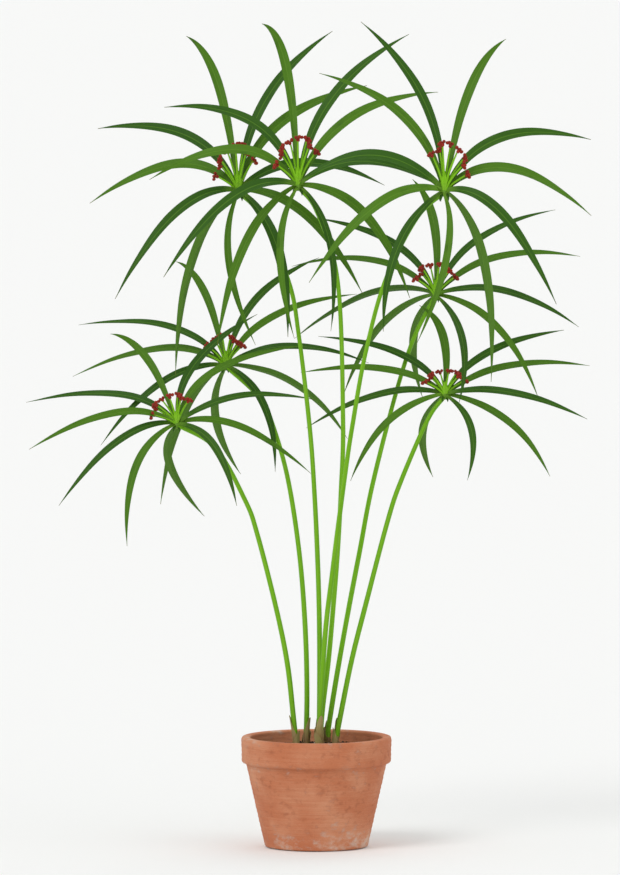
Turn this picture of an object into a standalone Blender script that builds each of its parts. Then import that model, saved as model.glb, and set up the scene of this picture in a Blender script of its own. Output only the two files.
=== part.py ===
"""A potted umbrella papyrus: seven stems rise from a clay pot, each with a whorl of long leaves and a fan of
flower rays at its top. Metres, +Z up. The origin is the middle of the pot's underside, the front is -Y."""

import math

import bmesh
import bpy
from mathutils import Vector

MM = 0.001
GAP = 0.3 * MM  # between pieces that touch
WELD = 0.001 * MM  # points nearer than this are one
SHARP = math.radians(40)  # a steeper edge is shaded as a sharp one
ROUND = 1  # bevel resolution of a thick round rod, which gives it six sides

# Clay pot, in mm
POT_HEIGHT = 120
RIM_RADIUS = 82
RIM_BAND = 28
RIM_STEP = 5  # how far the rim band stands out from the wall under it
BASE_RADIUS = 56
WALL = 7
FLOOR = 9
INSIDE_FLARE = 2  # how much the inner wall opens over the band
RIM_TAPER = 1  # how much the band narrows to its foot
EDGE = 2  # chamfer of the pot's edges
POT_STEPS = 28

# Soil, in mm
SOIL_EDGE = 106  # height at the pot's wall
SOIL_MOUND = 5  # how much higher it is around the stems
MOUND_SHAPE = ((0, 1), (24, 0.9), (48, 0.3))  # radius, and the share of the mound's height there
SOIL_CHAMFER = 2
SOCKET_TOP = 240  # a socket is cut by its stem's foot up to about this height

# Stems, in mm
STEM_RADIUS_FOOT = 3
STEM_RADIUS_TOP = 2.3
STEM_THINS_BY = 560  # height at which a stem is down to its top's radius
STEM_LEAN = 1.6  # power of the curve by which a stem leans forward or back

# Leaf crowns, in mm
HUB_RADIUS = 6
HUB_SEGMENTS, HUB_RINGS = 8, 4
LEAF_ROOT = 4.5  # from the hub's middle to where a leaf begins
LEAF_LIFT = 0.8  # how much higher than the hub's middle it begins
BROAD_LEAF, NARROW_LEAF = 12.5, 9.2
KEEL = 0.17  # depth of the leaf's fold, as a share of its width
LEAF_THICKNESS = 1.3
LEAF_TURN = 0.58  # how much of the way a leaf turns its face, or its back, to the front
LEAF_STATIONS = (0, 0.15, 0.38, 0.62, 0.84, 1)  # shares of its length
LEVEL_ROOT, STEEP_ROOT = 0.46, 0.3  # share of the full width at the root of a level leaf and of a steep one
LEVEL_WIDEST, STEEP_WIDEST = 0.38, 0.52  # share of the length at which they have their full width
TAPER = 2.3  # power of the curve by which it narrows to the tip
TIP_SHARE = 0.14  # of the full width
# A leaf's depth at its middle, as a share of the depth at its tip. An upright leaf leans out before it rises,
# which keeps it clear of the flowers.
MIDDLE_DEPTH, UPRIGHT_DEPTH = 0.6, 0.88

# Flower heads, in mm
COLUMN_RADIUS = 2
COLUMN_SHARE = 0.34  # of the head's height, where the rays part
RAY_RADIUS = 0.9
RAY_START = 2  # how far below the column's end a ray begins
HEAD_DEPTH = 6
SIDE_DEPTH = 0.45  # share of that depth which a level ray would have
CLUSTER_RADIUS = 3.6
CLUSTER_STRETCH = 1.3
CLUSTER_ROUNDING = 1  # subdivisions of its icosphere

# Heights are read as seen from 5 degrees above, where a point further back looks higher than it is.
VIEW_ANGLE = math.radians(5)

# Each plant, in mm. Its stem runs from the foot to the crown, as (right, up), and stands so far back at the
# foot and at the crown. A leaf is its middle and its tip, as (right, up) from the crown, how far back the tip
# lies, the share of its length before the middle, which sets where it bends most, and its share of the full
# width where that isn't 1. A cluster is the end of one ray of the flower head, as (right, up) from the crown.
PLANTS = (
    {
        "stem": (
            (2, 85), (3.4, 150), (3.5, 225), (1.8, 300), (-2.1, 385), (-7.2, 456), (-19, 556),
            (-30, 616), (-61, 688), (-85, 715),
        ),
        "back": (4, 10),
        "leaf_width": BROAD_LEAF,
        "leaves": (
            ((-17.8, 101), (-58, 171), 80, 0.4),
            ((33.6, 106.2), (102.5, 175.5), 60, 0.535, 0.92),
            ((49, 77.2), (143, 118.5), 70, 0.52),
            ((-66, 64.7), (-157, 69.5), 55, 0.56),
            ((-74.5, 28.6), (-162, -12.5), 60, 0.55),
            ((-70, -27), (-133, -118), -70, 0.53),
            ((-47.8, -69), (-68.5, -200), 50, 0.48, 0.85),
            ((-9.8, -79), (19, -168), -70, 0.53, 0.64),
            ((41.2, -59), (54, -159), -60, 0.5),
            ((75, -28), (135, -112), -35, 0.53),
            ((74, 31), (159, 7), 40, 0.52),
        ),
        "clusters": (
            (-24.5, 17), (-19.5, 28.5), (-19.5, 35), (-12, 44.5), (-3, 50.5), (6, 50), (9, 43),
            (16.5, 34),
        ),
    },
    {
        "stem": (
            (2.5, 85), (6, 143), (13.2, 204), (18.7, 265), (23.2, 323), (26.6, 385), (29, 466),
            (23.2, 616), (1, 691), (-20, 720),
        ),
        "back": (-5, -50),
        "leaf_width": BROAD_LEAF,
        "leaves": (
            ((-9.6, 111), (-39.6, 177), 65, 0.4),
            ((40.3, 100.2), (120.5, 165.8), 60, 0.527),
            ((59.7, 75.4), (156, 103.7), 50, 0.52),
            ((-51, 70), (-148, 85.5), 40, 0.5),
            ((-66.8, 39.3), (-163, 5), 20, 0.5),
            ((-75, -16.5), (-145, -100), -80, 0.53),
            ((-55.4, -60.6), (-87, -172), -50, 0.5, 0.86),
            ((-19.3, -74), (-4, -166), -70, 0.53, 0.65),
            ((34, -62), (35.5, -158), -25, 0.5, 0.7),
            ((73, -33), (121, -122), -20, 0.52),
            ((76, 26), (158, -3), -20, 0.53),
        ),
        "clusters": (
            (-23.3, 23.4), (-17.7, 34.3), (-16.8, 42), (-8.7, 48.3), (0, 51.8), (9.6, 51), (12.2, 43.7),
            (19.4, 37.4),
        ),
    },
    {
        "stem": (
            (2, 85), (3.5, 143), (9.7, 235), (16.8, 296), (24, 354), (32.2, 415), (38.3, 456),
            (52.5, 536), (74, 616), (108, 684), (138, 713),
        ),
        "back": (-14, -110),
        "leaf_width": BROAD_LEAF,
        "leaves": (
            ((26.6, 107.2), (67.8, 168.4), 55, 0.48, 0.9),
            ((-30, 114.5), (-90, 185), 60, 0.572, 0.88),
            ((-50, 86.4), (-135, 128.6), 35, 0.54),
            ((66, 60), (159, 57), 50, 0.53),
            ((71, 25), (159.5, -25.5), 55, 0.5, 1.04),
            ((66.8, -31), (120.5, -122.5), -50, 0.56),
            ((44.2, -82), (51.2, -206), 50, 0.545, 0.84),
            ((3.2, -67), (-30, -165), -70, 0.5, 0.65),
            ((-48.2, -56.6), (-66, -152), -50, 0.48, 0.84),
            ((-68.5, -12.4), (-146, -99), -45, 0.48),
            ((-79, 39.3), (-157, 11), 10, 0.525, 1.17),
        ),
        "clusters": (
            (-13.5, 40.5), (-5, 46), (-2, 52.5), (6.8, 51), (15, 45.5), (22, 37.5), (21, 29.5),
            (25, 19),
        ),
    },
    {
        "stem": (
            (7, 85), (15.3, 143), (25.3, 204), (36.3, 265), (47.4, 323), (61.2, 395), (87, 496),
            (106.6, 556), (130, 602),
        ),
        "back": (14, 65),
        "leaf_width": NARROW_LEAF,
        "leaves": (
            ((-1.7, 80), (-25, 128), 80, 0.5, 1.1),
            ((-51, 59.8), (-131, 85), 50, 0.55),
            ((-72, 38.9), (-157, 32), 35, 0.54),
            ((-73, 1.3), (-154, -47), 70, 0.52),
            ((-58.2, -32.2), (-100, -108), 60, 0.5),
            ((-24.2, -54), (-13.5, -112), 100, 0.58),
            ((29, -51.5), (24.5, -118), -120, 0.52, 0.9),
            ((67.6, -36.3), (111.5, -113), -50, 0.52),
            ((78, 3.3), (155, -35), -60, 0.52),
            ((75, 43.6), (158, 43), 50, 0.555),
            ((52.3, 64.8), (131, 94), 40, 0.55),
        ),
        "clusters": (
            (-21.5, 18.3), (-15.8, 24.4), (-14.8, 30.1), (-5.9, 32.7), (3.7, 33.7), (10, 31),
            (14.5, 27), (21, 20.5),
        ),
    },
    {
        "stem": (
            (15, 85), (26.2, 143), (38.5, 204), (53.8, 265), (77.6, 356), (92.3, 400), (121, 466),
            (140, 493),
        ),
        "back": (0, 20),
        "leaf_width": NARROW_LEAF,
        "leaves": (
            ((-0.2, 53), (-28, 98), 32, 0.4, 1.12),
            ((-55, 47), (-138, 64), 40, 0.55),
            ((-72, 28.8), (-157, 24.5), 30, 0.55),
            ((-75, -0.5), (-151, -36), 30, 0.53),
            ((-62.3, -29.8), (-103, -94), -30, 0.51),
            ((-24.2, -44), (-12.5, -90), 90, 0.56),
            ((29.5, -45), (23.5, -93), -90, 0.58, 0.86),
            ((70.6, -31.4), (113.5, -89), -45, 0.53),
            ((79, 0.9), (154, -26.5), -40, 0.55),
            ((78, 33), (158, 32), 50, 0.56),
            ((58.2, 51.7), (130, 71), 40, 0.58),
        ),
        "clusters": (
            (-21.5, 14.3), (-15.1, 18.9), (-14.5, 22.5), (-5.5, 25.2), (4, 25.8), (12.3, 24.5),
            (14.4, 20.8), (21, 16),
        ),
    },
    {
        "stem": (
            (-12, 85), (-10.3, 165), (-12.3, 240), (-18.7, 320), (-31, 400), (-47, 458),
            (-62, 490), (-99, 525),
        ),
        "back": (8, 105),
        "leaf_width": NARROW_LEAF,
        "leaves": (
            ((-21.8, 76.6), (-55, 115), 70, 0.46),
            ((35.5, 75.5), (102, 119), 50, 0.53),
            ((60.5, 58.5), (143, 79), 50, 0.56),
            ((-71, 45), (-161, 45), 30, 0.56),
            ((-73, 18.7), (-168, -11.5), 60, 0.52, 1.07),
            ((-67.8, -17.5), (-136, -87), -40, 0.49),
            ((-43.2, -46.5), (-71.8, -152), 60, 0.46, 1.05),
            ((-10.2, -64), (16, -119), 90, 0.57),
            ((38.4, -37), (54, -116), -40, 0.45),
            ((76, -20.4), (133, -80), 20, 0.5),
            ((82, 21), (156, 3), -30, 0.57),
        ),
        "clusters": (
            (-25, 15), (-20.4, 22.7), (-12, 29), (-3.6, 33.5), (5, 32), (8.8, 27.8), (14, 25),
            (18, 22),
        ),
    },
    {
        "stem": (
            (-19.5, 85), (-25.3, 143), (-31.8, 200), (-43.9, 260), (-64.2, 340), (-77.5, 377.5),
            (-110.3, 435.3), (-152, 461),
        ),
        "back": (-2, 35),
        "leaf_width": NARROW_LEAF,
        "leaves": (
            ((-31, 68.5), (-73, 99), 65, 0.46),
            ((23.6, 71), (87.5, 120.5), 52, 0.55, 1.08),
            ((49.6, 62.4), (137, 86), 38, 0.565),
            ((-79, 33.6), (-165, 24), 75, 0.6),
            ((-77, 10), (-160, -27.5), -50, 0.55),
            ((-67, -21.2), (-128, -89), -40, 0.54),
            ((-43.7, -46.3), (-53.7, -133), -50, 0.5),
            ((-6.4, -49), (29.5, -101), 80, 0.57),
            ((43.6, -28.3), (65.5, -89), -70, 0.55),
            ((75, -5.5), (146, -54), 0, 0.55),
            ((75, 31.2), (151, 26.5), 10, 0.56),
        ),
        "clusters": (
            (-26, 10.3), (-23, 17.3), (-23.3, 22), (-16.3, 27), (-8.4, 31), (0.5, 32.5), (4.7, 28.7),
            (12.5, 26),
        ),
    },
)


def place(right, back, up):
    """A point in metres from where it is seen, in mm."""
    return Vector((right, back, up - back * math.tan(VIEW_ANGLE))) * MM


def material(name, colour, roughness):
    made = bpy.data.materials.new(name)
    made.use_nodes = True
    shader = made.node_tree.nodes["Principled BSDF"]
    shader.inputs["Base Color"].default_value = (*colour, 1)
    shader.inputs["Roughness"].default_value = roughness
    shader.inputs["Metallic"].default_value = 0
    return made


def add(name, data, group):
    made = bpy.data.objects.new(name, data)
    group.objects.link(made)
    return made


def finish(piece, look):
    """Gives a piece its material and smooth shading."""
    piece.data.materials.clear()
    piece.data.materials.append(look)
    piece.data.shade_smooth()
    piece.data.set_sharp_from_angle(angle=SHARP)


def turned(name, profile, group):
    """A round piece from its half section, as (radius, height) in mm."""
    mesh = bpy.data.meshes.new(name)
    points = [(radius * MM, 0, height * MM) for radius, height in profile]
    mesh.from_pydata(points, [(i, i + 1) for i in range(len(points) - 1)], [])
    piece = add(name, mesh, group)
    screw = piece.modifiers.new("Turn", "SCREW")
    screw.steps = screw.render_steps = POT_STEPS
    screw.use_merge_vertices, screw.merge_threshold = True, WELD
    return piece


def swept(name, points, radii, tilts=None, section=None, rounding=0):
    """A curve along the points. It is as thick as the radii, or carries the section scaled by them."""
    curve = bpy.data.curves.new(name, "CURVE")
    curve.dimensions, curve.twist_mode, curve.use_fill_caps = "3D", "Z_UP", True
    if section:
        curve.bevel_mode, curve.bevel_object = "OBJECT", section
    else:
        curve.bevel_depth, curve.bevel_resolution = 1, rounding
    spline = curve.splines.new("POLY")
    spline.points.add(len(points) - 1)
    for i, point in enumerate(points):
        spline.points[i].co = (*point, 1)
        spline.points[i].radius = radii[i]
        spline.points[i].tilt = tilts[i] if tilts else 0
    return curve


def split_blade(work):
    """Splits both faces of a blade along the same diagonals, so that a twisted one keeps its thickness. The
    section's corners are an edge, the upper fold, the other edge and the lower fold, at each station."""
    work.verts.ensure_lookup_table()
    for face in [face for face in work.faces if len(face.verts) == 4]:
        edge = min((vert for vert in face.verts if vert.index % 2 == 0), key=lambda vert: vert.index)
        fold = max((vert for vert in face.verts if vert.index % 2 == 1), key=lambda vert: vert.index)
        bmesh.utils.face_split(face, edge, fold)


def solid(name, curve, group, blade=False):
    """The curve's own closed mesh, with its caps welded on, as an object."""
    guide = add(name, curve, group)
    depsgraph = bpy.context.evaluated_depsgraph_get()
    mesh = bpy.data.meshes.new_from_object(guide.evaluated_get(depsgraph))
    bpy.data.objects.remove(guide)
    work = bmesh.new()
    work.from_mesh(mesh)
    if blade:
        split_blade(work)
    bmesh.ops.remove_doubles(work, verts=work.verts, dist=WELD)
    work.to_mesh(mesh)
    work.free()
    return add(name, mesh, group)


def boolean(name, base, operation, others, group):
    """One object of the base after a Boolean with the others, all of which it replaces."""
    helpers = bpy.data.collections.new(name + " helpers")
    bpy.context.scene.collection.children.link(helpers)
    for other in others:
        helpers.objects.link(other)
    change = base.modifiers.new(operation.title(), "BOOLEAN")
    change.operation, change.solver = operation, "EXACT"
    change.operand_type, change.collection = "COLLECTION", helpers
    depsgraph = bpy.context.evaluated_depsgraph_get()
    mesh = bpy.data.meshes.new_from_object(base.evaluated_get(depsgraph))
    mesh.transform(base.matrix_world)
    for piece in (base, *others):
        bpy.data.objects.remove(piece)
    bpy.data.collections.remove(helpers)
    return add(name, mesh, group)


def pot(group, look):
    body_top = POT_HEIGHT - RIM_BAND
    wall_top = RIM_RADIUS - RIM_STEP
    profile = (
        (0, FLOOR),
        (BASE_RADIUS - WALL, FLOOR),
        (wall_top - WALL, body_top),
        (wall_top - WALL + INSIDE_FLARE, POT_HEIGHT - EDGE),
        (wall_top - WALL + INSIDE_FLARE + EDGE, POT_HEIGHT),
        (RIM_RADIUS - EDGE, POT_HEIGHT),
        (RIM_RADIUS, POT_HEIGHT - EDGE),
        (RIM_RADIUS - RIM_TAPER, body_top + EDGE),
        (RIM_RADIUS - RIM_TAPER - EDGE, body_top),
        (wall_top - RIM_TAPER, body_top - RIM_TAPER),
        (BASE_RADIUS, EDGE),
        (BASE_RADIUS - EDGE, 0),
        (0, 0),
    )
    finish(turned("pot", profile, group), look)


def inner_radius(height):
    """The pot's inner radius in mm, at a height above its floor."""
    body_top, wall_top = POT_HEIGHT - RIM_BAND, RIM_RADIUS - RIM_STEP
    low, high = BASE_RADIUS - WALL, wall_top - WALL
    if height > body_top:
        return high + INSIDE_FLARE * (height - body_top) / (RIM_BAND - EDGE)
    return low + (high - low) * (height - FLOOR) / (body_top - FLOOR)


def stem_points(plant):
    """The stem's route in metres, from its foot to the middle of the hub."""
    foot, crown = plant["back"]
    low, high = plant["stem"][0][1], plant["stem"][-1][1]
    points = []
    for right, up in plant["stem"]:
        rise = (up - low) / (high - low)
        points.append(place(right, foot + (crown - foot) * rise**STEM_LEAN, up))
    return points


def stem_radius(height):
    """The stem's radius in metres at a height in metres."""
    thinning = (STEM_RADIUS_FOOT - STEM_RADIUS_TOP) * min(height / (STEM_THINS_BY * MM), 1)
    return (STEM_RADIUS_FOOT - thinning) * MM


def stem(name, plant, group, look):
    route = stem_points(plant)
    crown = route[-1]
    route[-1] = crown + (route[-2] - crown).normalized() * (HUB_RADIUS * MM + GAP)
    radii = [stem_radius(point.z) for point in route]
    finish(solid(name, swept(name, route, radii, rounding=ROUND), group), look)


def soil(group, look):
    """The filling of the pot, with a socket for each stem."""
    floor, gap = FLOOR + GAP / MM, GAP / MM
    body_top = POT_HEIGHT - RIM_BAND
    profile = (
        *((radius, SOIL_EDGE + SOIL_MOUND * share) for radius, share in MOUND_SHAPE),
        (inner_radius(SOIL_EDGE) - gap - SOIL_CHAMFER, SOIL_EDGE),
        (inner_radius(SOIL_EDGE - SOIL_CHAMFER) - gap, SOIL_EDGE - SOIL_CHAMFER),
        (inner_radius(body_top) - gap, body_top),
        (inner_radius(floor) - gap, floor),
        (0, floor),
    )
    filling = turned("filling", profile, group)
    sockets = []
    for i, plant in enumerate(PLANTS):
        route = [point for point in stem_points(plant) if point.z < SOCKET_TOP * MM]
        route[0] = route[0] - (route[1] - route[0]).normalized() * GAP
        radii = [stem_radius(point.z) + GAP for point in route]
        sockets.append(solid(f"socket {i}", swept("socket", route, radii, rounding=ROUND), group))
    finish(boolean("soil", filling, "DIFFERENCE", sockets, group), look)


def leaf_section(group):
    """The folded cross-section of a leaf of full width 1, as a guide for every leaf."""
    curve = bpy.data.curves.new("leaf section", "CURVE")
    spline = curve.splines.new("POLY")
    half = LEAF_THICKNESS / BROAD_LEAF / 2
    corners = ((-0.5, KEEL), (0, half), (0.5, KEEL), (0, -half))
    spline.points.add(len(corners) - 1)
    for point, corner in zip(spline.points, corners, strict=True):
        point.co = (*corner, 0, 1)
    spline.use_cyclic_u = True
    return add("leaf section", curve, group)


def leaf_share(t, steepness):
    """The share of its full width that a leaf has at this share of its length. A steep one widens later."""
    root = LEVEL_ROOT + (STEEP_ROOT - LEVEL_ROOT) * steepness**2
    widest = LEVEL_WIDEST + (STEEP_WIDEST - LEVEL_WIDEST) * steepness**2
    if t < widest:
        return root + (1 - root) * math.sin(t / widest * math.pi / 2)
    return max(1 - ((t - widest) / (1 - widest)) ** TAPER, TIP_SHARE)


def leaf_tilts(points, outward):
    """The tilt of a leaf's section at each point, by which the blade turns its face or its back partly to the
    front. A blade that didn't turn would lie level across."""
    level = Vector((-outward.y, outward.x, 0))
    front = Vector((0, -math.cos(VIEW_ANGLE), math.sin(VIEW_ANGLE)))
    frames, turns = [], []
    for i in range(len(points)):
        course = (points[min(i + 1, len(points) - 1)] - points[max(i - 1, 0)]).normalized()
        side = (level - course * course.dot(level)).normalized()
        face = course.cross(side)
        turn = math.atan2(-side.dot(front), face.dot(front))
        if turns:
            turn += math.pi * round((turns[-1] - turn) / math.pi)
        frames.append((course, side, face))
        turns.append(turn)
    half_turns = math.pi * round(turns[len(turns) // 2] / math.pi)
    tilts = []
    for (course, side, face), turn in zip(frames, turns, strict=True):
        turn = (turn - half_turns) * LEAF_TURN
        face = face * math.cos(turn) - side * math.sin(turn)
        upright = Vector((0, 0, 1)) - course * course.z
        tilts.append(math.atan2(upright.cross(face).dot(course), upright.dot(face)))
    return tilts


def leaf(crown, width, shape, section, group):
    """One leaf, which arches from the hub through its middle to its tip."""
    middle, tip, back, bow, *narrower = shape
    width *= narrower[0] if narrower else 1
    steepness = middle[1] / math.hypot(*middle)
    share = MIDDLE_DEPTH + (UPRIGHT_DEPTH - MIDDLE_DEPTH) * max(0, steepness) ** 2
    middle_at = crown + place(middle[0], back * share, middle[1])
    tip_at = crown + place(tip[0], back, tip[1])
    outward = tip_at - crown
    outward.z = 0
    outward.normalize()
    root = crown + outward * LEAF_ROOT * MM + Vector((0, 0, LEAF_LIFT * MM))
    bend = (middle_at - root * (1 - bow) ** 2 - tip_at * bow**2) / (2 * bow * (1 - bow))
    points = [root * (1 - t) ** 2 + bend * 2 * t * (1 - t) + tip_at * t * t for t in LEAF_STATIONS]
    radii = [leaf_share(t, steepness) * width * MM for t in LEAF_STATIONS]
    curve = swept("leaf", points, radii, leaf_tilts(points, outward), section)
    return solid("leaf", curve, group, blade=True)


def leaf_crown(name, plant, section, group, look):
    """The whorl of leaves, grown together at the small hub on the stem's end."""
    crown = stem_points(plant)[-1]
    bpy.ops.mesh.primitive_uv_sphere_add(
        segments=HUB_SEGMENTS, ring_count=HUB_RINGS, radius=HUB_RADIUS * MM, location=crown
    )
    hub = bpy.context.object
    leaves = [leaf(crown, plant["leaf_width"], shape, section, group) for shape in plant["leaves"]]
    whorl = boolean(name, hub, "UNION", leaves, group)
    finish(whorl, look)
    return whorl


def flower_head(name, plant, group, look):
    """A short column that parts into a fan of rays, each with a cluster of spikelets at its end."""
    crown = stem_points(plant)[-1]
    height = max(up for right, up in plant["clusters"])
    foot = crown + Vector((0, 0, HUB_RADIUS * MM + GAP))
    fork = crown + Vector((0, 0, height * COLUMN_SHARE * MM))
    column = solid("column", swept("column", [foot, fork], [COLUMN_RADIUS * MM] * 2, rounding=ROUND), group)
    parts = []
    for i, (right, up) in enumerate(plant["clusters"]):
        back = HEAD_DEPTH * (-1) ** (i + 1) * (SIDE_DEPTH + (1 - SIDE_DEPTH) * up / height)
        end = crown + place(right, back, up)
        start = fork - Vector((0, 0, RAY_START * MM))
        parts.append(solid("ray", swept("ray", [start, end], [RAY_RADIUS * MM] * 2), group))
        bpy.ops.mesh.primitive_ico_sphere_add(subdivisions=CLUSTER_ROUNDING, radius=CLUSTER_RADIUS * MM)
        cluster = bpy.context.object
        cluster.scale.z = CLUSTER_STRETCH
        cluster.rotation_mode = "QUATERNION"
        cluster.rotation_quaternion = (end - start).to_track_quat("Z", "Y")
        cluster.location = end
        bpy.context.view_layer.update()
        parts.append(cluster)
    finish(boolean(name, column, "UNION", parts, group), look)


def main():
    for old in list(bpy.data.objects):
        bpy.data.objects.remove(old)
    group = bpy.data.collections.new("Potted papyrus plant")
    guides = bpy.data.collections.new("Guides")
    for made in (group, guides):
        bpy.context.scene.collection.children.link(made)

    clay = material("clay", (0.55, 0.22, 0.11), 0.85)
    earth = material("earth", (0.045, 0.028, 0.018), 0.95)
    stem_green = material("stem green", (0.17, 0.42, 0.025), 0.45)
    leaf_green = material("leaf green", (0.06, 0.18, 0.02), 0.5)
    spikelet_red = material("spikelet red", (0.26, 0.02, 0.02), 0.6)

    section = leaf_section(guides)
    section.hide_render, section.display_type = True, "WIRE"
    pot(group, clay)
    soil(group, earth)
    for number, plant in enumerate(PLANTS, start=1):
        stem(f"stem_{number}", plant, group, stem_green)
        leaf_crown(f"leaf_crown_{number}", plant, section, group, leaf_green)
        flower_head(f"flower_head_{number}", plant, group, spikelet_red)


main()
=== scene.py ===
import math

import bmesh
import bpy
import numpy as np
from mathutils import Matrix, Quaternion, Vector


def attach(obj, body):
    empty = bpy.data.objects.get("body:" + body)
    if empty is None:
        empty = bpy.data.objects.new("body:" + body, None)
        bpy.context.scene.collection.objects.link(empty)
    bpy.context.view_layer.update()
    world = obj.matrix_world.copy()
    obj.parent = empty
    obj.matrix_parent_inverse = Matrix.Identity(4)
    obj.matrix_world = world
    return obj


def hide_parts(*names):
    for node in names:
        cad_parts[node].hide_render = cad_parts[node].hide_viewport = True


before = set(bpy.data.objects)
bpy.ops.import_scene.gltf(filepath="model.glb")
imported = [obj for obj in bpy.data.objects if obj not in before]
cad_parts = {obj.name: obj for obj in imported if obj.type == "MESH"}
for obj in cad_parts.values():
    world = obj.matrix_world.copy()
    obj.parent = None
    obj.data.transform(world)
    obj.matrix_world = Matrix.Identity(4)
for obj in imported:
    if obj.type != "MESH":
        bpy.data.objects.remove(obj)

mm = 0.001
fullTurn = 2 * math.pi
core = 0.4  # mm from the middle, where a turned surface closes
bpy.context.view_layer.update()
eyeAngle = math.radians(5)  # the plant is seen from this far above the horizon

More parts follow.
